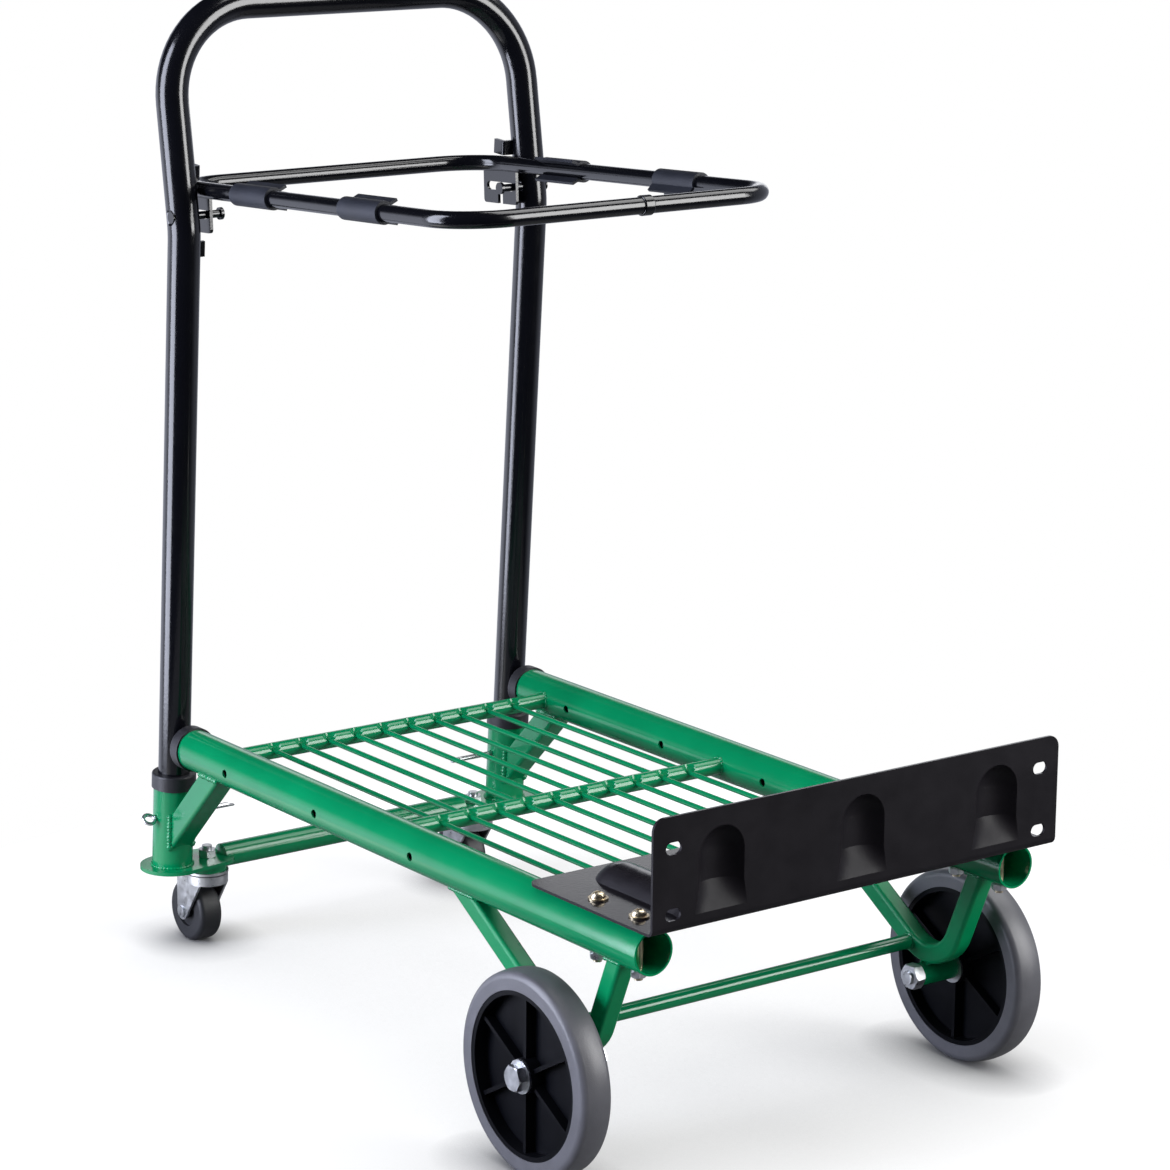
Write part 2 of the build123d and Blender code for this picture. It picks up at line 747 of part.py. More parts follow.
# Upper stop tabs: strips welded behind the uprights, bent rearwards over the bag frame's side tubes
bag_slope = radians(bag_tilt)
tab_front_y = handle_y + handle_radius
tab_bottom = stud_height + (bag_rise + bag_tube_radius) / cos(bag_slope) + stop_gap
tab_bottom -= (tab_front_y - handle_y) * tan(bag_slope)
tab_inner_x = bag_x - tab_thickness / 2
with BuildPart() as stop_tab:
    with BuildSketch(level(tab_bottom)):
        with Locations((tab_inner_x, tab_front_y)):
            Rectangle(handle_x - tab_inner_x, tab_thickness, align=(Align.MIN, Align.MIN))
            Rectangle(tab_thickness, tab_thickness + tab_return, align=(Align.MIN, Align.MIN))
    extrude(amount=tab_height)
    fillet(stop_tab.edges().filter_by(Axis.Z).group_by(Axis.X)[0].sort_by(Axis.Y)[0], tab_bend)
    with BuildSketch(Plane(origin=on_loop(handle_x, 0), x_dir=(1, 0, 0), z_dir=lean_up)):
        Circle(handle_radius)
    extrude(amount=loop_length, mode=Mode.SUBTRACT)
save_both(leaned(stop_tab), "upper_stop_tabs")

# Lower stop lugs on the inner sides of the uprights
lug_top = stud_height - lug_drop
with BuildPart() as stop_lug:
    with BuildSketch(level(lug_top - lug_height, handle_x, handle_y)):
        Rectangle(handle_radius + lug_reach, tab_thickness, align=(Align.MAX, Align.CENTER))
    extrude(amount=lug_height)
    with BuildSketch(level(0, handle_x, handle_y)):
        Circle(handle_radius)
    extrude(amount=stud_height, mode=Mode.SUBTRACT)
save_both(leaned(stop_lug), "lower_stop_lugs")

# Bag frame: a flat loop of tube that hangs on the studs and tilts up about them
bag_up = (0, sin(bag_slope), cos(bag_slope))
bag_plane = Plane(origin=(0, handle_y, stud_height), x_dir=(1, 0, 0), z_dir=bag_up)
bag_loop_plane = bag_plane.offset(bag_rise)
bag_forward = bag_plane.y_dir * -1
bag_points = [
    (bag_joint_offset + bag_joint_gap / 2, -bag_front_reach),
    (bag_x, -bag_front_reach),
    (bag_x, bag_rear_reach),
    (-bag_x, bag_rear_reach),
    (-bag_x, -bag_front_reach),
    (bag_joint_offset - bag_joint_gap / 2, -bag_front_reach),
]


def bag_loop(radius):
    """A round bar along the bag frame's loop."""
    with BuildPart() as bar:
        with BuildLine(bag_loop_plane) as bag_path:
            FilletPolyline(*bag_points, radius=bag_corner)
        with BuildSketch(Plane(origin=bag_path.line @ 0, z_dir=bag_path.line % 0)):
            Circle(radius)
        sweep()
    return bar


bag_bar = bag_loop(bag_tube_radius)
with BuildPart() as bag_frame_tube:
    add(bag_bar.part)
    add(bag_loop(bag_tube_radius - small_tube_wall).part, mode=Mode.SUBTRACT)
save(leaned(bag_frame_tube), "bag_frame_tube")

# Joint ring over the place where the loop's two ends meet
joint_place = bag_loop_plane.from_local_coords((bag_joint_offset - joint_ring_width / 2, -bag_front_reach))
with BuildPart() as joint_ring:
    with BuildSketch(Plane(origin=joint_place, x_dir=(0, 1, 0), z_dir=(1, 0, 0))):
        ring(bag_tube_diameter + 2 * joint_ring_thickness, bag_tube_diameter)
    extrude(amount=joint_ring_width)
    fillet(joint_ring.edges().filter_by(GeomType.CIRCLE).sort_by(SortBy.RADIUS)[-2:], joint_ring_edge)
save(leaned(joint_ring), "bag_frame_joint_ring")

# Hanger plates under the side tubes: the stud sits in the front end of a T-shaped slot
hanger_plane = Plane(origin=(bag_x, handle_y, stud_height), x_dir=bag_plane.y_dir, z_dir=(1, 0, 0))
hanger_top = bag_rise - bag_tube_radius + hanger_seat
slot_middle = (slot_length - slot_height) / 2
with BuildPart() as hanger_plate:
    with BuildSketch(hanger_plane) as hanger_outline:
        with Locations((-hanger_front, -hanger_drop)):
            Rectangle(hanger_front + hanger_rear, hanger_drop + hanger_top, align=(Align.MIN, Align.MIN))
        fillet(hanger_outline.vertices().group_by(Axis.Y)[0], hanger_corner)
        with Locations((slot_middle, 0)):
            SlotOverall(slot_length, slot_height, mode=Mode.SUBTRACT)
        with Locations((slot_middle, -hanger_drop)):
            Rectangle(slot_height, hanger_drop, align=(Align.CENTER, Align.MIN), mode=Mode.SUBTRACT)
    extrude(amount=hanger_thickness / 2, both=True)
    add(bag_bar.part, mode=Mode.SUBTRACT)
save_both(leaned(hanger_plate), "bag_hanger_plates")

# Bag clips: sprung C-shaped sleeves that snap on the side tubes, open towards the bag
clip_bore = bag_tube_radius + clip_gap
clip_outer = clip_bore + clip_wall
half_opening = radians(clip_opening / 2)


def build_clip(side, reach, turn):
    """A clip on one side tube, with its opening turned down from facing inwards."""
    place = bag_loop_plane.from_local_coords((side * bag_x, -reach + clip_length / 2))
    facing = bag_plane.x_dir * -side * cos(radians(turn)) - bag_plane.z_dir * sin(radians(turn))
    clip_plane = Plane(origin=place, x_dir=facing, z_dir=bag_forward)
    with BuildPart() as clip:
        with BuildSketch(clip_plane):
            Circle(clip_outer)
            Circle(clip_bore, mode=Mode.SUBTRACT)
            with BuildLine():
                Polyline(
                    (0, 0),
                    (clip_outer * 2, clip_outer * 2 * tan(half_opening)),
                    (clip_outer * 2, -clip_outer * 2 * tan(half_opening)),
                    close=True,
                )
            make_face(mode=Mode.SUBTRACT)
            lip_radius = clip_bore + clip_wall / 2
            for edge in (1, -1):
                lip_start = (lip_radius * cos(half_opening), edge * lip_radius * sin(half_opening))
                with Locations(lip_start):
                    Rectangle(
                        clip_lip,
                        clip_wall,
                        rotation=edge * clip_lip_flare,
                        align=(Align.MIN, Align.CENTER),
                    )
            Circle(clip_bore, mode=Mode.SUBTRACT)
        extrude(amount=clip_length)
    return clip


for side_name, side in (("left", -1), ("right", 1)):
    for row, place_name in enumerate(("rear", "front")):
        turned = side_name == "right" and place_name == "front"
        bag_clip = build_clip(side, clip_first_reach + row * clip_pitch, turned_clip_angle if turned else 0.0)
        save(leaned(bag_clip), f"bag_clip_{side_name}_{place_name}")

# Front wheels: ribbed hubs with rubber tyres, turning on bolts through the sleeves
tyre_radius = wheel_diameter / 2
rim_radius = tyre_radius - tyre_section
wheel_plane = level(axle_height, wheel_x, axle_y)
wheel_axis = Axis((wheel_x, axle_y, axle_height), (1, 0, 0))
with BuildPart() as front_tyre:
    with BuildSketch(wheel_plane) as tyre_outline:
        with BuildLine():
            ThreePointArc(
                (-wheel_width / 2, tyre_radius - tyre_crown),
                (0, tyre_radius),
                (wheel_width / 2, tyre_radius - tyre_crown),
            )
            Polyline(
                (wheel_width / 2, tyre_radius - tyre_crown),
                (wheel_width / 2, rim_radius),
                (-wheel_width / 2, rim_radius),
                (-wheel_width / 2, tyre_radius - tyre_crown),
            )
        make_face()
        fillet(tyre_outline.vertices().group_by(Axis.Y)[-1], tyre_shoulder)
    revolve(axis=wheel_axis)
save_pair(front_tyre, "front_tyre")

rim_half_width = wheel_width / 2 - rim_setback
rib_half_height = rim_half_width - hub_rib_setback
with BuildPart() as front_hub:
    with BuildSketch(wheel_plane):
        with Locations((0, rim_radius)):
            Rectangle(2 * rim_half_width, rim_thickness, align=(Align.CENTER, Align.MAX))
        Rectangle(web_thickness, rim_radius - rim_thickness / 2, align=(Align.CENTER, Align.MIN))
        Rectangle(boss_length, boss_diameter / 2, align=(Align.CENTER, Align.MIN))
    revolve(axis=wheel_axis)
    with BuildSketch(facing_right(wheel_x, axle_y, axle_height)):
        with PolarLocations(0, hub_rib_count, start_angle=90):
            Rectangle(rim_radius - rim_thickness / 2, hub_rib_thickness, align=(Align.MIN, Align.CENTER))
    extrude(amount=rib_half_height, both=True)
    with BuildSketch(facing_right(boss_inner_x, axle_y, axle_height)):
        Circle(bore_diameter / 2)
    extrude(amount=boss_length, mode=Mode.SUBTRACT)
save_pair(front_hub, "front_hub")

# Axle bolts, washers and nuts
washer_outer_x = boss_outer_x + slip_gap + axle_washer_thickness
nut_inner_x = sleeve_inner_x - axle_nut_height
with BuildPart() as axle_bolt:
    with BuildSketch(facing_right(nut_inner_x - axle_tip, axle_y, axle_height)):
        Circle(axle_diameter / 2)
    extrude(amount=washer_outer_x - nut_inner_x + axle_tip)
    head_plane = facing_right(washer_outer_x, axle_y, axle_height)
    add(hexagon_piece(axle_head_flats, head_plane, axle_head_height).part)
save_both(axle_bolt, "axle_bolts")

with BuildPart() as axle_washer_set:
    for washer_x in (boss_outer_x + slip_gap, sleeve_outer_x):
        with BuildSketch(facing_right(washer_x, axle_y, axle_height)):
            ring(axle_washer_diameter, axle_diameter + 2 * hole_gap)
        extrude(amount=axle_washer_thickness)
save_both(axle_washer_set, "axle_washers")

with BuildPart() as axle_nut:
    nut_plane = facing_right(nut_inner_x, axle_y, axle_height)
    add(hexagon_piece(axle_head_flats, nut_plane, axle_nut_height).part)
    with BuildSketch(nut_plane):
        Circle(axle_diameter / 2 + hole_gap)
    extrude(amount=axle_nut_height, mode=Mode.SUBTRACT)
save_both(axle_nut, "axle_nuts")

# Casters: a fixed stem and race, and a fork that swivels on them with its wheel trailing
race_bottom = caster_height - collar_height - race_thickness
crown_top = race_bottom - race_gap
crown_bottom = crown_top - crown_height
stem_head_top = crown_top - fork_sheet - slip_gap
stem_top = plate_top + stem_nut_height + stem_tip
caster_axle_height = caster_wheel_diameter / 2
caster_axle_y = handle_y + caster_trail
with BuildPart() as caster_stem:
    with BuildSketch(level(stem_head_top, caster_x, handle_y)):
        Circle(stem_diameter / 2)
    extrude(amount=stem_top - stem_head_top)
    with BuildSketch(level(stem_head_top, caster_x, handle_y)):
        Circle(stem_head_diameter / 2)
    extrude(amount=-stem_head_height)
save_both(caster_stem, "caster_stems")

with BuildPart() as stem_nut:
    nut_plane = level(plate_top, caster_x, handle_y)
    add(hexagon_piece(stem_nut_flats, nut_plane, stem_nut_height).part)
    with BuildSketch(nut_plane):
        Circle(stem_diameter / 2 + hole_gap)
    extrude(amount=stem_nut_height, mode=Mode.SUBTRACT)
save_both(stem_nut, "caster_stem_nuts")

with BuildPart() as caster_race:
    with BuildSketch(level(race_bottom, caster_x, handle_y)):
        ring(race_diameter, stem_diameter + 2 * hole_gap)
    extrude(amount=race_thickness)
save_both(caster_race, "caster_top_races")

cheek_gap = caster_wheel_width / 2 + cheek_clearance
cheek_outer = cheek_gap + fork_sheet
cheek_top = crown_bottom + fork_sheet
cheek_rear_y = caster_axle_y + cheek_foot_radius
cheek_front_y = handle_y - sqrt((crown_diameter / 2) ** 2 - cheek_outer**2)
with BuildPart() as caster_fork:
    with BuildSketch(level(crown_bottom, caster_x, handle_y)):
        Circle(crown_diameter / 2)
    extrude(amount=crown_height)
    with BuildSketch(level(crown_bottom, caster_x, handle_y)):
        Circle(crown_diameter / 2 - fork_sheet)
    extrude(amount=crown_height - fork_sheet, mode=Mode.SUBTRACT)
    for cheek_x in (caster_x + cheek_gap, caster_x - cheek_outer):
        with BuildSketch(facing_right(cheek_x)):
            with Locations((cheek_rear_y, cheek_top)):
                Rectangle(cheek_rear_y - cheek_front_y, fork_sheet, align=(Align.MAX, Align.MAX))
            with Locations((caster_axle_y, caster_axle_height)):
                Circle(cheek_foot_radius)
            make_hull()
        extrude(amount=fork_sheet)
    with BuildSketch(level(crown_bottom, caster_x)):
        with Locations((0, cheek_rear_y)):
            Rectangle(2 * cheek_outer, cheek_rear_y - cheek_front_y, align=(Align.CENTER, Align.MAX))
    extrude(amount=fork_sheet)
    with BuildSketch(facing_right(caster_x - crown_diameter, caster_axle_y, caster_axle_height)):
        Circle(caster_axle_diameter / 2 + hole_gap)
    extrude(amount=2 * crown_diameter, mode=Mode.SUBTRACT)
    with BuildSketch(level(crown_bottom, caster_x, handle_y)):
        Circle(stem_diameter / 2 + running_gap)
    extrude(amount=crown_height, mode=Mode.SUBTRACT)
    with BuildSketch(level(crown_bottom, caster_x, handle_y)):
        Circle(stem_head_diameter / 2 + slip_gap)
    extrude(amount=crown_height - fork_sheet, mode=Mode.SUBTRACT)
save_pair(caster_fork, "caster_fork")

with BuildPart() as caster_axle:
    with BuildSketch(facing_right(caster_x - cheek_outer, caster_axle_y, caster_axle_height)):
        Circle(caster_axle_diameter / 2)
    extrude(amount=2 * cheek_outer)
    with BuildSketch(facing_right(caster_x + cheek_outer, caster_axle_y, caster_axle_height)):
        Circle(caster_axle_head / 2)
    extrude(amount=caster_axle_head_height)
    with BuildSketch(facing_right(caster_x - cheek_outer, caster_axle_y, caster_axle_height)):
        Circle(caster_axle_head / 2)
    extrude(amount=-caster_axle_head_height)
save_pair(caster_axle, "caster_axle")

with BuildPart() as caster_wheel:
    with BuildSketch(facing_right(caster_x, caster_axle_y, caster_axle_height)):
        ring(caster_wheel_diameter, caster_axle_diameter + 2 * running_gap)
    extrude(amount=caster_wheel_width / 2, both=True)
    fillet(caster_wheel.edges().filter_by(GeomType.CIRCLE).sort_by(SortBy.RADIUS)[-2:], caster_shoulder)
    for side in (1, -1):
        side_x = caster_x + side * caster_wheel_width / 2
        with BuildSketch(facing_right(side_x, caster_axle_y, caster_axle_height)):
            ring(2 * caster_hub_recess_radius, 2 * caster_axle_diameter)
        extrude(amount=-side * caster_hub_recess, mode=Mode.SUBTRACT)
save_pair(caster_wheel, "caster_wheel")

# Lock pins: split pins through the sockets and the handle, with an eye to pull them by
pin_shoulder_x = handle_x + rail_radius + pin_eye_wire / 2
pin_eye_x = pin_shoulder_x + pin_eye_radius
with BuildPart() as lock_pin:
    with BuildSketch(facing_right(pin_eye_x - pin_eye_radius - pin_length, handle_y, pin_height)):
        Circle(pin_diameter / 2)
    extrude(amount=pin_length)
    with BuildSketch(facing_right(pin_shoulder_x - pin_length, handle_y, pin_height)):
        Rectangle(pin_diameter, pin_slit)
    extrude(amount=pin_length - pin_eye_wire, mode=Mode.SUBTRACT)
    with BuildSketch(facing_right(pin_shoulder_x - pin_length, handle_y, pin_height)):
        Rectangle(pin_diameter, pin_diameter / 2, align=(Align.CENTER, Align.MIN))
    extrude(amount=pin_tip_step, mode=Mode.SUBTRACT)
    with Locations(Location((pin_eye_x, handle_y, pin_height), (pin_eye_turn, 0, 0))):
        Torus(pin_eye_radius, pin_eye_wire / 2)
save_pair(leaned(lock_pin), "lock_pin")
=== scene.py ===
import json
from math import asin, cos, pi, radians, sin, sqrt, tan

import bmesh
import bpy
from mathutils import Matrix, Vector


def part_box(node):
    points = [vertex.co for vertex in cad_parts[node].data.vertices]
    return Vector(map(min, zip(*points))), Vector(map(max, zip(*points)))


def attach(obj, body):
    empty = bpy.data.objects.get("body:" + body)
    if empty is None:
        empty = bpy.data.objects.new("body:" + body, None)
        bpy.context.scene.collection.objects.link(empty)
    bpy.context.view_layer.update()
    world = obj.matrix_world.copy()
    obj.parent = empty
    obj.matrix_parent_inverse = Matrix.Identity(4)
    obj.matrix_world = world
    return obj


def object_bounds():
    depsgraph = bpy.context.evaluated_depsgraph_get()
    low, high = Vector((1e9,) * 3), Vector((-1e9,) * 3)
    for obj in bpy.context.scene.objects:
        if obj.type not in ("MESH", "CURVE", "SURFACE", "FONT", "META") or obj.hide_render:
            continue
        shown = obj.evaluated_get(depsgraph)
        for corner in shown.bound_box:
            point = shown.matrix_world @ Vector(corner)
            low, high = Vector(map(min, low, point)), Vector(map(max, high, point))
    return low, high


# Studio render of the folding hand truck: finishes for the frame's pieces, weld beads on its deck,
# a white studio and a camera. Metres, in the frame's own axes: +Z up, front towards -Y.

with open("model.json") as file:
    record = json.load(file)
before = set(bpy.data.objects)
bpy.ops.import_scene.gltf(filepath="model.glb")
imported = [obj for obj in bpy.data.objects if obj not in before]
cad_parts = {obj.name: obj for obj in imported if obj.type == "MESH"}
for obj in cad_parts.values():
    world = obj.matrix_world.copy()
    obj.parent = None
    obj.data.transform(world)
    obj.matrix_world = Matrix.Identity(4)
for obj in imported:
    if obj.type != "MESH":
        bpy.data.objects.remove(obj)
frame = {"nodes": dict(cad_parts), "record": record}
cad_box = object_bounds()
SIDES = {"left": -1, "right": 1}
UP = (0, 0, 1)
LEFTWARD = (-1, 0, 0)
BACKWARD = (0, 1, 0)
WHITE = (1, 1, 1)
COOL_WHITE = (0.8, 0.84, 1)


# Places and sizes read from the frame


def middle(node):
    """Centre of a node's box."""
    low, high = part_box(node)
    return (low + high) / 2


def extent(node):
    """Size of a node's box."""
    low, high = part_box(node)
    return high - low


# Shader building

# Nearly all of a noise pattern lies between these values
NOISE_LOW = 0.3
NOISE_HIGH = 0.7


def connect(tree, node, inputs):
    """Set a shader node's inputs, or link those that are given as sockets."""
    for name, value in inputs.items():
        if isinstance(value, bpy.types.NodeSocket):
            tree.links.new(value, node.inputs[name])
        else:
            node.inputs[name].default_value = value


def add_node(tree, kind, inputs=None, **settings):
    """Add a shader node, set its properties, and set or link its inputs."""
    node = tree.nodes.new(kind)
    for name, value in settings.items():
        setattr(node, name, value)
    connect(tree, node, inputs or {})
    return node


def new_surface(name):
    """A new material with its node tree, its shader and the coordinates that its patterns use."""
    material = bpy.data.materials.new(name)
    material.use_nodes = True
    tree = material.node_tree
    shader = tree.nodes["Principled BSDF"]
    coordinates = add_node(tree, "ShaderNodeTexCoord").outputs["Object"]
    return material, tree, shader, coordinates


def noise(tree, coordinates, size, detail=2.0, roughness=0.5, distortion=0.0):
    """Noise whose features are about this many metres across."""
    inputs = {
        "Vector": coordinates,
        "Scale": 1 / size,
        "Detail": detail,
        "Roughness": roughness,
        "Distortion": distortion,
    }
    return add_node(tree, "ShaderNodeTexNoise", inputs).outputs["Fac"]


def between(tree, factor, low, high, start=NOISE_LOW, end=NOISE_HIGH):
    """A number that goes from low to high as the factor goes from start to end."""
    inputs = {"Value": factor, "From Min": start, "From Max": end, "To Min": low, "To Max": high}
    return add_node(tree, "ShaderNodeMapRange", inputs).outputs["Result"]


def combine(tree, operation, first, second):
    """The result of a math operation on two numbers."""
    return add_node(tree, "ShaderNodeMath", {0: first, 1: second}, operation=operation).outputs[0]


def multiply(tree, first, second):
    """The product of two numbers."""
    return combine(tree, "MULTIPLY", first, second)


def total(tree, first, second):
    """The sum of two numbers."""
    return combine(tree, "ADD", first, second)


def facing(tree, direction, axis, span, low, high):
    """A number that goes from low to high as a direction or place goes over a span of an axis."""
    inputs = {0: direction, 1: axis}
    along = add_node(tree, "ShaderNodeVectorMath", inputs, operation="DOT_PRODUCT")
    return between(tree, along.outputs["Value"], low, high, *span)


def blend_colours(tree, factor, first, second):
    """A colour that goes from the first to the second as the factor goes over a noise's range."""
    ramp = add_node(tree, "ShaderNodeValToRGB", {"Fac": factor})
    start, end = ramp.color_ramp.elements
    start.position, start.color = NOISE_LOW, (*first, 1)
    end.position, end.color = NOISE_HIGH, (*second, 1)
    return ramp.outputs["Color"]


def tinted(colour, factor):
    """The colour made lighter or darker by a factor."""
    return tuple(min(1.0, channel * factor) for channel in colour)


def mottled(tree, pattern, colour, spread):
    """A colour that a pattern makes darker and lighter, between two factors."""
    return blend_colours(tree, pattern, tinted(colour, spread[0]), tinted(colour, spread[1]))


def varied(tree, pattern, value, spread):
    """A number that a pattern makes smaller and larger, between two factors."""
    return between(tree, pattern, value * spread[0], value * spread[1])


def bump(tree, height, depth):
    """A bump of this depth in metres from a height between 0 and 1."""
    inputs = {"Height": height, "Distance": depth, "Strength": 1.0}
    return add_node(tree, "ShaderNodeBump", inputs).outputs["Normal"]


# Finishes: the sizes of their patterns in metres, and how far these spread their tint and gloss

DRIFT_SIZE = 0.06
SMUDGE_SIZE = 0.018
PEEL_SIZE = 0.0022
COAT_TINTS = (0.9, 1.08)
COAT_GLOSS = (0.85, 1.2)

SCUFF_SIZE = 0.02
SCUFF_TINTS = (0.85, 1.15)
SCUFF_GLOSS = (0.9, 1.12)
WORN_PEEL_DEPTH = 0.00003
UP_FACING = (0.9, 0.98)

FLOW_SIZE = 0.03
FLOW_TINTS = (0.85, 1.15)
FLOW_GLOSS = (0.9, 1.12)
PLASTIC_GRAIN_SIZE = 0.0007

BLOOM_SIZE = 0.022
BLOOM_TINTS = (0.88, 1.1)
BLOOM_GLOSS = (0.92, 1.08)
RUBBER_GRAIN_SIZE = 0.0009
RUBBER_GRAIN_DEPTH = 0.00012
RUBBER_SPECULAR = 0.5

CLOUD_SIZE = 0.006
CLOUD_GLOSS = (0.75, 1.3)
MARK_SIZE = 0.0008
MARK_DEPTH = 0.00003


def powder_coat(name, colour, roughness, specular, peel_depth):
    """Baked paint: nearly even colour, soft gloss and the slight ripple of orange peel."""
    material, tree, shader, coordinates = new_surface(name)
    drift = noise(tree, coordinates, DRIFT_SIZE)
    smudges = noise(tree, coordinates, SMUDGE_SIZE, detail=4.0, roughness=0.6)
    peel = noise(tree, coordinates, PEEL_SIZE, detail=1.0)
    connect(tree, shader, {
        "Base Color": mottled(tree, drift, colour, COAT_TINTS),
        "Roughness": varied(tree, smudges, roughness, COAT_GLOSS),
        "Normal": bump(tree, peel, peel_depth),
        "Specular IOR Level": specular,
    })
    return material


def worn_coat(name, colour, roughness, rubbed_roughness, specular, rubbed_specular):
    """Satin paint that loads have rubbed to a gloss where it faces up, with fine scuffs."""
    material, tree, shader, coordinates = new_surface(name)
    scuffs = noise(tree, coordinates, SCUFF_SIZE, detail=4.0, roughness=0.6)
    peel = noise(tree, coordinates, PEEL_SIZE, detail=1.0)
    outward = add_node(tree, "ShaderNodeNewGeometry").outputs["Normal"]
    rubbed = facing(tree, outward, UP, UP_FACING, roughness, rubbed_roughness)
    connect(tree, shader, {
        "Base Color": mottled(tree, scuffs, colour, SCUFF_TINTS),
        "Roughness": multiply(tree, rubbed, between(tree, scuffs, *SCUFF_GLOSS)),
        "Normal": bump(tree, peel, WORN_PEEL_DEPTH),
        "Specular IOR Level": facing(tree, outward, UP, UP_FACING, specular, rubbed_specular),
    })
    return material


def moulded_plastic(name, colour, roughness, specular, grain_depth):
    """Moulded plastic: fine spark-eroded grain with faint flow marks."""
    material, tree, shader, coordinates = new_surface(name)
    flow = noise(tree, coordinates, FLOW_SIZE, detail=3.0, distortion=0.6)
    grain = noise(tree, coordinates, PLASTIC_GRAIN_SIZE)
    connect(tree, shader, {
        "Base Color": mottled(tree, flow, colour, FLOW_TINTS),
        "Roughness": varied(tree, flow, roughness, FLOW_GLOSS),
        "Normal": bump(tree, grain, grain_depth),
        "Specular IOR Level": specular,
    })
    return material


def rubber(name, colour, roughness):
    """Moulded rubber: mottled with dust, with a dull fine grain."""
    material, tree, shader, coordinates = new_surface(name)
    bloom = noise(tree, coordinates, BLOOM_SIZE, detail=5.0, roughness=0.65)
    grain = noise(tree, coordinates, RUBBER_GRAIN_SIZE, detail=3.0)
    connect(tree, shader, {
        "Base Color": mottled(tree, bloom, colour, BLOOM_TINTS),
        "Roughness": varied(tree, bloom, roughness, BLOOM_GLOSS),
        "Normal": bump(tree, grain, RUBBER_GRAIN_DEPTH),
        "Specular IOR Level": RUBBER_SPECULAR,
    })
    return material


def plated_metal(name, colour, cloud_colour, roughness):
    """Zinc plating: cloudy spangle in its colour and gloss over fine drawing marks."""
    material, tree, shader, coordinates = new_surface(name)
    clouds = noise(tree, coordinates, CLOUD_SIZE, detail=4.0, roughness=0.6)
    marks = noise(tree, coordinates, MARK_SIZE, detail=3.0)
    connect(tree, shader, {
        "Base Color": blend_colours(tree, clouds, cloud_colour, colour),
        "Roughness": varied(tree, clouds, roughness, CLOUD_GLOSS),
        "Normal": bump(tree, marks, MARK_DEPTH),
        "Metallic": 1.0,
    })
    return material


GREEN = powder_coat(
    "green_powder_coat",
    colour=(0.0008, 0.205, 0.075),
    roughness=0.16,
    specular=0.4,
    peel_depth=0.00003,
)
# Painted shade: a slightly darker copy of the green paint with weaker, blurrier reflections,
# standing in for the shade on the wheel brackets
GREEN_SHADED = powder_coat(
    "green_coat_painted_shade",
    colour=(0.0008, 0.2, 0.072),
    roughness=0.32,
    specular=0.18,
    peel_depth=0.00004,
)
BLACK = powder_coat(
    "black_gloss_coat",
    colour=(0.0025, 0.0027, 0.0042),
    roughness=0.16,
    specular=0.5,
    peel_depth=0.00003,
)
TOE_BLACK = worn_coat(
    "black_satin_coat",
    colour=(0.0078, 0.0069, 0.0088),
    roughness=0.46,
    rubbed_roughness=0.16,
    specular=0.12,
    rubbed_specular=0.38,
)
RING_PLASTIC = moulded_plastic(
    "ring_plastic",
    colour=(0.012, 0.012, 0.015),
    roughness=0.45,
    specular=0.4,
    grain_depth=0.00005,
)
HUB_PLASTIC = moulded_plastic(
    "hub_plastic",
    colour=(0.0024, 0.0026, 0.0038),
    roughness=0.4,
    specular=0.08,
    grain_depth=0.00004,
)
CLIP_PLASTIC = moulded_plastic(
    "clip_plastic",
    colour=(0.0105, 0.012, 0.018),
    roughness=0.5,
    specular=0.28,
    grain_depth=0.00005,
)
GREY_RUBBER = rubber("grey_tyre_rubber", colour=(0.088, 0.088, 0.099), roughness=0.4)
BLACK_RUBBER = rubber("black_caster_rubber", colour=(0.01, 0.0103, 0.0128), roughness=0.5)
ZINC = plated_metal(
    "zinc_plating",
    colour=(0.68, 0.69, 0.71),
    cloud_colour=(0.5, 0.515, 0.535),
    roughness=0.34,
)
YELLOW_ZINC = plated_metal(
    "yellow_zinc_plating",
    colour=(0.8, 0.71, 0.5),
    cloud_colour=(0.72, 0.6, 0.45),
    roughness=0.34,
)

FINISHES = {
    "green_paint": GREEN,
    "black_paint": BLACK,
    "toe_black": TOE_BLACK,
    "black_plastic": RING_PLASTIC,
    "clip_plastic": CLIP_PLASTIC,
    "zinc": ZINC,
    "yellow_zinc": YELLOW_ZINC,
    "grey_rubber": GREY_RUBBER,
    "black_rubber": BLACK_RUBBER,
}


def dress(piece, material):
    """Give a piece one material."""
    piece.data.materials.clear()
    piece.data.materials.append(material)


for entry in frame["record"]["subparts"]:
    dress(frame["nodes"][entry["node"]], FINISHES[entry["material_slot"]])
for side in SIDES:
    dress(frame["nodes"][f"front_hub_{side}"], HUB_PLASTIC)
    # The wheel brackets take the darker, duller copy of the green paint, which is painted shade
    dress(frame["nodes"][f"wheel_bracket_{side}"], GREEN_SHADED)


# Mesh building

TUBE_SIDES = 10
ARC_STEPS = 24
FEWEST_STEPS = 4


def add_tube(mesh, points, radii, closed=False):
    """Add a tube with these radii along points to a mesh under construction."""
    count = len(points)
    turns = [2 * pi * step / TUBE_SIDES for step in range(TUBE_SIDES)]
    rings = []
    for index, point in enumerate(points):
        before = points[index - 1] if closed or index > 0 else point
        after = points[(index + 1) % count] if closed or index < count - 1 else point
        along = (after - before).normalized()
        across = along.orthogonal() if not rings else across - along * across.dot(along)
        across.normalize()
        other = along.cross(across)
        spokes = [(across * cos(turn) + other * sin(turn)) * radii[index] for turn in turns]
        rings.append([mesh.verts.new(point + spoke) for spoke in spokes])
    for index in range(count if closed else count - 1):
        first, second = rings[index], rings[(index + 1) % count]
        for step in range(TUBE_SIDES):
            following = (step + 1) % TUBE_SIDES
            mesh.faces.new((first[step], first[following], second[following], second[step]))
    if not closed:
        mesh.faces.new(reversed(rings[0]))
        mesh.faces.new(rings[-1])


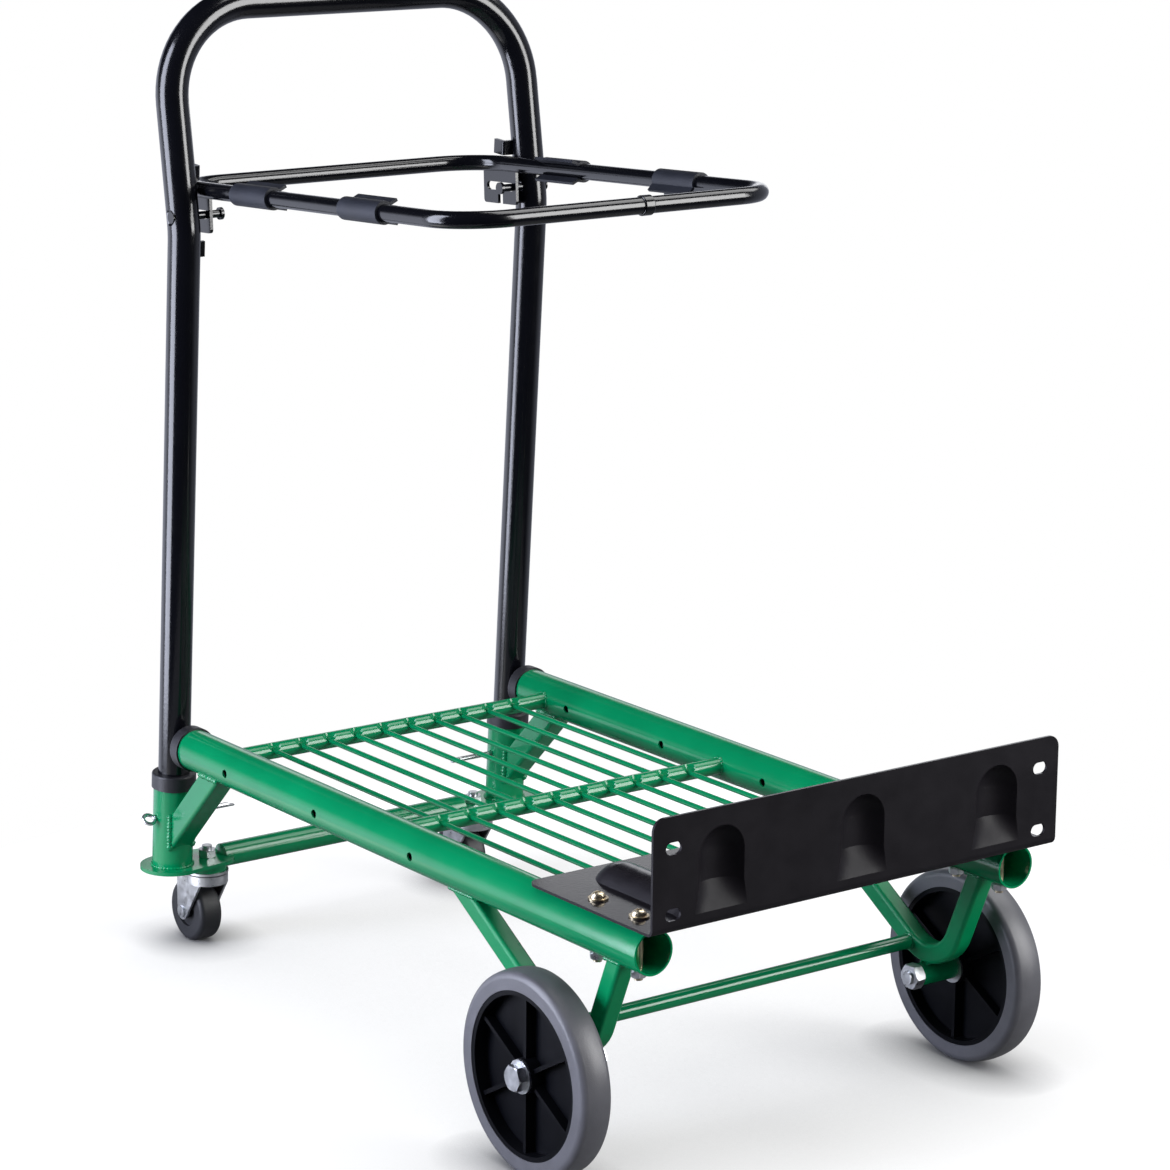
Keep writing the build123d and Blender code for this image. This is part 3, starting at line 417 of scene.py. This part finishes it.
def finish_mesh(mesh, name, body, material):
    """Turn a mesh under construction into a smooth piece that rides on a body."""
    bmesh.ops.recalc_face_normals(mesh, faces=mesh.faces)
    data = bpy.data.meshes.new(name)
    mesh.to_mesh(data)
    mesh.free()
    data.shade_smooth()
    piece = bpy.data.objects.new(name, data)
    bpy.context.collection.objects.link(piece)
    dress(piece, material)
    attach(piece, body)


def resampled(points, step, closed=False):
    """Points at even spacing along a polyline."""
    path = [Vector(point) for point in points]
    if closed:
        path.append(path[0].copy())
    lengths = [(b - a).length for a, b in zip(path, path[1:])]
    whole = sum(lengths)
    count = max(FEWEST_STEPS, round(whole / step))
    places = []
    run, start = 0, 0.0
    for index in range(count if closed else count + 1):
        distance = whole * index / count
        while run < len(lengths) - 1 and distance > start + lengths[run]:
            start += lengths[run]
            run += 1
        places.append(path[run].lerp(path[run + 1], (distance - start) / lengths[run]))
    return places


def arc_points(centre, radius, start, end, axis, steps=ARC_STEPS):
    """Points on a circle arc about X or Z through a centre, between two angles."""
    points = []
    for index in range(steps + 1):
        angle = start + (end - start) * index / steps
        u, v = radius * cos(angle), radius * sin(angle)
        offset = {"X": (0, u, v), "Z": (u, v, 0)}[axis]
        points.append(Vector(centre) + Vector(offset))
    return points


def ring_points(centre, radius, axis, steps=ARC_STEPS):
    """Points round a whole circle about X or Z."""
    return arc_points(centre, radius, 0, 2 * pi, axis, steps)[:-1]


# Weld beads: rounded seams with the ripple that a torch leaves, and a slower wobble in it

BEAD_STEP = 0.0008
RIPPLE_LENGTH = 0.0028
RIPPLE_HEIGHT = 0.19
WOBBLE_SHARE = 0.6
WOBBLE_TURN = 1.9
BEAD_TIP = 0.35
BEAD_SHOULDER = 0.75

GUSSET_SOCKET_BEAD = 0.0027
GUSSET_RAIL_BEAD = 0.0021
CROSS_BAR_BEAD = 0.0012
SOCKET_BEAD = 0.001
SOCKET_SEAM_GAP = 0.0003
SOCKET_SEAM_RISE = 0.0004
SOCKET_SEAM_STEPS = 48
LOWER_TUBE_BEAD = 0.0011
LOWER_TUBE_SEAM_INSET = 0.002
PLUG_RINGS = 5
PLUG_BULGE = 0.0022
PLUG_INSET = 0.0004
BRACKET_BEAD = 0.0014
BRACKET_SEAM_STEPS = 8
TIE_ROD_BEAD = 0.0012
SLEEVE_BEAD = 0.0015
SLEEVE_SEAM_DEGREES = 22
SLEEVE_SEAM_RISE = 0.0006

# Angles and a place of the frame that its boxes don't give
UPRIGHT_LEAN = radians(4)
GUSSET_ANGLE = radians(45)
GUSSET_FOOT = 0.0322
REAR_LEG_ANGLE = radians(31.5)
FRONT_LEG_ANGLE = radians(67.6)

RAIL_RADIUS = extent("side_rail_right").z / 2
SOCKET_RADIUS = extent("socket_right").x / 2
PLATE_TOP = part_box("caster_plate_right")[1].z
HANDLE_Y = middle("caster_stems").y


def add_bead(mesh, points, radius, closed=False):
    """Add one rippled weld bead along points."""
    places = resampled(points, BEAD_STEP, closed)
    radii = []
    for index in range(len(places)):
        ripples = index * BEAD_STEP / RIPPLE_LENGTH
        ripple = sin(2 * pi * ripples) + WOBBLE_SHARE * sin(WOBBLE_TURN * ripples)
        radii.append(radius * (1 + RIPPLE_HEIGHT * ripple))
    if not closed:
        radii[0] = radii[-1] = radius * BEAD_TIP
        radii[1] = radii[-2] = radius * BEAD_SHOULDER
    add_tube(mesh, places, radii, closed)


def under_rail(rail, x):
    """Height of the rail's underside at this X."""
    return rail.z - sqrt(RAIL_RADIUS**2 - (x - rail.x) ** 2)


def weld_gussets():
    """Seams of the gussets along the sockets and under the rails."""
    mesh = bmesh.new()
    slope, lean = tan(GUSSET_ANGLE), tan(UPRIGHT_LEAN)
    base = PLATE_TOP + GUSSET_FOOT - SOCKET_RADIUS * slope
    for side in SIDES:
        rail = middle(f"side_rail_{side}")
        half = extent(f"gusset_{side}").x / 2
        chord = sqrt(SOCKET_RADIUS**2 - half**2)
        for x in (rail.x - half, rail.x + half):
            seam = []
            for rise in (-half / cos(GUSSET_ANGLE), half / cos(GUSSET_ANGLE)):
                run = ((base + rise - PLATE_TOP) * lean + chord) / (1 - lean * slope)
                seam.append((x, HANDLE_Y - run, base + rise + run * slope))
            add_bead(mesh, seam, GUSSET_SOCKET_BEAD)
            seam_z = under_rail(rail, x)
            end_y = HANDLE_Y - (seam_z - base) / slope
            reach = half / sin(GUSSET_ANGLE)
            seam = [(x, end_y - reach, seam_z), (x, end_y + reach, seam_z)]
            add_bead(mesh, seam, GUSSET_RAIL_BEAD)
    finish_mesh(mesh, "gusset_welds", "deck", GREEN)


def weld_cross_bars():
    """Seams round the cross bars' ends on the rails."""
    mesh = bmesh.new()
    for place in ("rear", "middle", "front"):
        bar = middle(f"{place}_cross_bar")
        radius = extent(f"{place}_cross_bar").z / 2
        for side, sign in SIDES.items():
            rail = middle(f"side_rail_{side}")
            ring = ring_points(bar, radius, "X")
            for point in ring:
                point.x = rail.x - sign * sqrt(RAIL_RADIUS**2 - (point.z - rail.z) ** 2)
            add_bead(mesh, ring, CROSS_BAR_BEAD, closed=True)
    finish_mesh(mesh, "cross_bar_welds", "deck", GREEN)


def weld_sockets():
    """Seams round the sockets' feet on the caster plates."""
    mesh = bmesh.new()
    for side in SIDES:
        foot = Vector((middle(f"socket_{side}").x, HANDLE_Y, PLATE_TOP + SOCKET_SEAM_RISE))
        ring = ring_points(foot, SOCKET_RADIUS + SOCKET_SEAM_GAP, "Z", SOCKET_SEAM_STEPS)
        add_bead(mesh, ring, SOCKET_BEAD, closed=True)
    finish_mesh(mesh, "socket_welds", "deck", GREEN)


def weld_lower_tube():
    """Seams where the lower cross tube is slotted over the caster plates."""
    mesh = bmesh.new()
    tube = middle("lower_cross_tube")
    radius = extent("lower_cross_tube").y / 2
    half = PLATE_TOP - tube.z
    across = sqrt(radius**2 - half**2)
    for side, sign in SIDES.items():
        low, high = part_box(f"caster_plate_{side}")
        plate_x = low.x if sign > 0 else high.x
        start_x = plate_x + sign * LOWER_TUBE_SEAM_INSET
        end_x = sign * extent("lower_cross_tube").x / 2
        for z in (tube.z - half, tube.z + half):
            for y in (tube.y - across, tube.y + across):
                add_bead(mesh, [(start_x, y, z), (end_x, y, z)], LOWER_TUBE_BEAD)
    finish_mesh(mesh, "lower_tube_welds", "deck", GREEN)


def close_lower_tube():
    """Weld metal that closes the lower cross tube's ends above the caster plates."""
    mesh = bmesh.new()
    tube = middle("lower_cross_tube")
    radius = extent("lower_cross_tube").y / 2 - PLUG_INSET
    start = asin((PLATE_TOP - tube.z) / radius)
    for sign in SIDES.values():
        end = Vector((sign * extent("lower_cross_tube").x / 2, tube.y, PLATE_TOP))
        rows = []
        for ring in range(PLUG_RINGS):
            size = 1 - ring / PLUG_RINGS
            row = []
            for point in arc_points((end.x, tube.y, tube.z), radius, start, pi - start, "X"):
                place = end + (point - end) * size
                place.x += sign * PLUG_BULGE * (1 - size**2)
                row.append(mesh.verts.new(place))
            rows.append(row)
        for outer, inner in zip(rows, rows[1:]):
            for index in range(len(outer) - 1):
                corners = outer[index], outer[index + 1], inner[index + 1], inner[index]
                mesh.faces.new(corners)
        mesh.faces.new(rows[-1])
    finish_mesh(mesh, "lower_tube_plugs", "deck", GREEN)


def weld_brackets():
    """Seams of the wheel brackets' legs under the rails."""
    mesh = bmesh.new()
    for side in SIDES:
        rail = middle(f"side_rail_{side}")
        half = extent(f"wheel_bracket_{side}").x / 2
        side_z = under_rail(rail, rail.x + half)
        low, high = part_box(f"wheel_bracket_{side}")
        legs = ((high.y, -1, REAR_LEG_ANGLE), (low.y, 1, FRONT_LEG_ANGLE))
        for end_y, inward, angle in legs:
            inner_y = end_y + inward * 2 * half / sin(angle)
            corners = [
                Vector((rail.x - half, end_y, side_z)),
                Vector((rail.x + half, end_y, side_z)),
                Vector((rail.x + half, inner_y, side_z)),
                Vector((rail.x - half, inner_y, side_z)),
            ]
            seam = []
            for first, second in zip(corners, corners[1:] + corners[:1]):
                for step in range(BRACKET_SEAM_STEPS):
                    point = first.lerp(second, step / BRACKET_SEAM_STEPS)
                    point.z = under_rail(rail, point.x)
                    point.y += inward * (side_z - point.z) / tan(angle)
                    seam.append(point)
            add_bead(mesh, seam, BRACKET_BEAD, closed=True)
    finish_mesh(mesh, "bracket_welds", "deck", GREEN)


def weld_tie_rod():
    """Seams round the tie rod's ends on the brackets."""
    mesh = bmesh.new()
    rod = middle("tie_rod")
    radius = extent("tie_rod").z / 2
    for sign in SIDES.values():
        end = Vector((sign * extent("tie_rod").x / 2, rod.y, rod.z))
        add_bead(mesh, ring_points(end, radius, "X"), TIE_ROD_BEAD, closed=True)
    finish_mesh(mesh, "tie_rod_welds", "deck", GREEN)


def weld_sleeves():
    """Seams of the axle sleeves under the brackets' bends."""
    mesh = bmesh.new()
    for side in SIDES:
        sleeve = middle(f"axle_sleeve_{side}")
        bracket = middle(f"wheel_bracket_{side}")
        half = extent(f"wheel_bracket_{side}").x / 2
        radius = extent(f"axle_sleeve_{side}").z / 2
        for edge in (-1, 1):
            angle = radians(90 + edge * SLEEVE_SEAM_DEGREES)
            y = sleeve.y + radius * cos(angle)
            z = sleeve.z + radius * sin(angle) + SLEEVE_SEAM_RISE
            add_bead(mesh, [(bracket.x - half, y, z), (bracket.x + half, y, z)], SLEEVE_BEAD)
    finish_mesh(mesh, "sleeve_welds", "deck", GREEN)


weld_gussets()
weld_cross_bars()
weld_sockets()
weld_lower_tube()
close_lower_tube()
weld_brackets()
weld_tie_rod()
weld_sleeves()


# Studio: a white floor and sweep, panels of soft light, and the photograph's camera

FLOOR_RADIUS = 0.64
FLOOR_SEGMENTS = 96
FLOOR_GAP = 0.0003
FLOOR_GREY = 0.24
FLOOR_ROUGHNESS = 0.9

# What the camera sees of the floor: its level near the truck, and the shadows on it
FLOOR_LIFT = 0.845
LIFT_RADIUS = 0.45
SHADE_DEPTH = 0.28
SHADE_REACH = 0.25
CONTACT_REACH = 0.045

# What reflections see of the floor: a glow at its back left
FLOOR_GLOW = 1.7
GLOW_LEFTWARD = (0.2, 0.36)
GLOW_BACKWARD = (0.08, 0.32)

# The sweep behind the truck, as reflections see it, and the even light that fills the shadows
SWEEP_MIDDLE = (0.6, 0.8, 0)
SWEEP_SIDES = (-0.2, 0.3)
SWEEP_RISE = (-0.25, 0, 1)
SWEEP_HEIGHT = (0.1, 0.35)
SWEEP_LEFTWARD = (-0.5, 0.6)
SWEEP_LEFT = 2.0
SWEEP_RIGHT = 0.45
ROOM_LEVEL = 0.015
FILL_LEVEL = 0.16

# Panels that are not mirrored only light the surfaces, and those not lit show only in reflections
LIGHT_AIM = (0, 0, 0.35)
PANELS = {
    "panel_key": {
        "place": (-0.9, -1.1, 2.6),
        "size": (2.0, 2.0),
        "power": 36,
        "mirrored": False,
    },
    "panel_left": {
        "place": (-2.4, 0.6, 0.75),
        "size": (1.0, 1.3),
        "power": 105,
        "colour": COOL_WHITE,
        "mirrored": False,
    },
    "panel_top_right": {
        "place": (1.45, -0.1, 2.3),
        "aim": (1.1, -0.1, 0.35),
        "size": (1.4, 2.2),
        "power": 42,
        "lit": False,
    },
    "panel_front_right": {
        "place": (1.35, -1.85, 1.15),
        "size": (1.0, 1.6),
        "power": 62,
    },
    "panel_strip": {
        "place": (-1.3, 0.59, 0.9),
        "aim": (0, 0.59, 0.9),
        "size": (0.78, 2.2),
        "power": 65,
        "colour": COOL_WHITE,
        "lit": False,
    },
    "panel_back_right": {
        "place": (1.35, 1.6, 0.75),
        "aim": (0, -0.27, 0.2),
        "size": (1.4, 0.5),
        "power": 2.4,
        "lit": False,
    },
}

# The camera was worked out from the truck's edges in the photograph. Its focal length is in
# picture widths.
CAMERA_TARGET = Vector((-0.02335, -0.05906, 0.35437))
CAMERA_DISTANCE = 2.754
CAMERA_AZIMUTH = radians(-36.51)
CAMERA_ELEVATION = radians(13.62)
CAMERA_ROLL = radians(0.46)
CAMERA_FOCAL = 3800.26 / 1170
CAMERA_CLIP_END = 50
SENSOR_WIDTH = 36


def white_stage_material():
    """A pale floor that takes shadows, is white to the camera and glows in reflections."""
    material, tree, shader, place = new_surface("white_floor")
    path = add_node(tree, "ShaderNodeLightPath").outputs
    away = add_node(tree, "ShaderNodeVectorMath", {0: place}, operation="LENGTH").outputs["Value"]
    lift = between(tree, away, FLOOR_LIFT, 1.0, LIFT_RADIUS, FLOOR_RADIUS)
    broad = add_node(tree, "ShaderNodeAmbientOcclusion", {"Distance": SHADE_REACH}).outputs["AO"]
    shade = between(tree, broad, SHADE_DEPTH, 1.0, 0.0, 1.0)
    near = add_node(tree, "ShaderNodeAmbientOcclusion", {"Distance": CONTACT_REACH}).outputs["AO"]
    shadow = multiply(tree, shade, multiply(tree, near, near))
    seen = multiply(tree, multiply(tree, lift, shadow), path["Is Camera Ray"])
    leftward = facing(tree, place, LEFTWARD, GLOW_LEFTWARD, 0.0, 1.0)
    backward = facing(tree, place, BACKWARD, GLOW_BACKWARD, 0.0, FLOOR_GLOW)
    mirrored = multiply(tree, multiply(tree, leftward, backward), path["Is Glossy Ray"])
    connect(tree, shader, {
        "Base Color": (FLOOR_GREY, FLOOR_GREY, FLOOR_GREY, 1),
        "Roughness": FLOOR_ROUGHNESS,
        "Specular IOR Level": 0.0,
        "Emission Color": (*WHITE, 1),
        "Emission Strength": total(tree, seen, mirrored),
    })
    return material


def build_floor():
    """A round floor under the truck."""
    mesh = bmesh.new()
    bmesh.ops.create_circle(mesh, cap_ends=True, segments=FLOOR_SEGMENTS, radius=FLOOR_RADIUS)
    data = bpy.data.meshes.new("studio_floor")
    mesh.to_mesh(data)
    mesh.free()
    floor = bpy.data.objects.new("studio_floor", data)
    floor.location.z = cad_box[0].z - FLOOR_GAP
    bpy.context.collection.objects.link(floor)
    dress(floor, white_stage_material())


def build_world():
    """White for the camera, a low sweep brightest on the left for reflections, and an even fill."""
    world = bpy.data.worlds.new("studio")
    world.use_nodes = True
    tree = world.node_tree
    path = add_node(tree, "ShaderNodeLightPath").outputs
    direction = add_node(tree, "ShaderNodeTexCoord").outputs["Generated"]
    behind = facing(tree, direction, SWEEP_MIDDLE, SWEEP_SIDES, 0.0, 1.0)
    low = facing(tree, direction, SWEEP_RISE, SWEEP_HEIGHT, 1.0, 0.0)
    bright = facing(tree, direction, LEFTWARD, SWEEP_LEFTWARD, SWEEP_RIGHT, SWEEP_LEFT)
    sweep = total(tree, multiply(tree, multiply(tree, behind, low), bright), ROOM_LEVEL)
    fill = between(tree, path["Is Glossy Ray"], FILL_LEVEL, 0.0, 0.0, 1.0)
    shown = total(tree, fill, multiply(tree, sweep, path["Is Glossy Ray"]))
    connect(tree, tree.nodes["Background"], {
        "Color": blend_colours(tree, path["Is Camera Ray"], COOL_WHITE, WHITE),
        "Strength": combine(tree, "MAXIMUM", shown, path["Is Camera Ray"]),
    })
    bpy.context.scene.world = world


def add_panel(name, place, size, power, aim=LIGHT_AIM, colour=WHITE, lit=True, mirrored=True):
    """A soft rectangular light, which may be kept off surfaces or out of reflections."""
    light = bpy.data.lights.new(name, "AREA")
    light.shape = "RECTANGLE"
    light.size, light.size_y = size
    light.energy = power
    light.color = colour
    lamp = bpy.data.objects.new(name, light)
    lamp.location = place
    lamp.rotation_euler = (Vector(aim) - Vector(place)).to_track_quat("-Z", "Y").to_euler()
    lamp.visible_camera = False
    lamp.visible_diffuse = lit
    lamp.visible_glossy = mirrored
    bpy.context.collection.objects.link(lamp)


def build_camera():
    """The photograph's camera."""
    back = Vector((
        sin(CAMERA_AZIMUTH) * cos(CAMERA_ELEVATION),
        -cos(CAMERA_AZIMUTH) * cos(CAMERA_ELEVATION),
        sin(CAMERA_ELEVATION),
    ))
    right = Vector((cos(CAMERA_AZIMUTH), sin(CAMERA_AZIMUTH), 0))
    up = back.cross(right)
    turn = Matrix((right, up, back)).transposed() @ Matrix.Rotation(CAMERA_ROLL, 3, "Z")
    data = bpy.data.cameras.new("camera")
    data.sensor_width = SENSOR_WIDTH
    data.lens = CAMERA_FOCAL * SENSOR_WIDTH
    data.clip_end = CAMERA_CLIP_END
    camera = bpy.data.objects.new("camera", data)
    place = CAMERA_TARGET + back * CAMERA_DISTANCE
    camera.matrix_world = Matrix.Translation(place) @ turn.to_4x4()
    bpy.context.collection.objects.link(camera)
    bpy.context.scene.camera = camera


build_floor()
build_world()
for name, settings in PANELS.items():
    add_panel(name, **settings)
build_camera()
bpy.context.scene.view_settings.view_transform = "Standard"
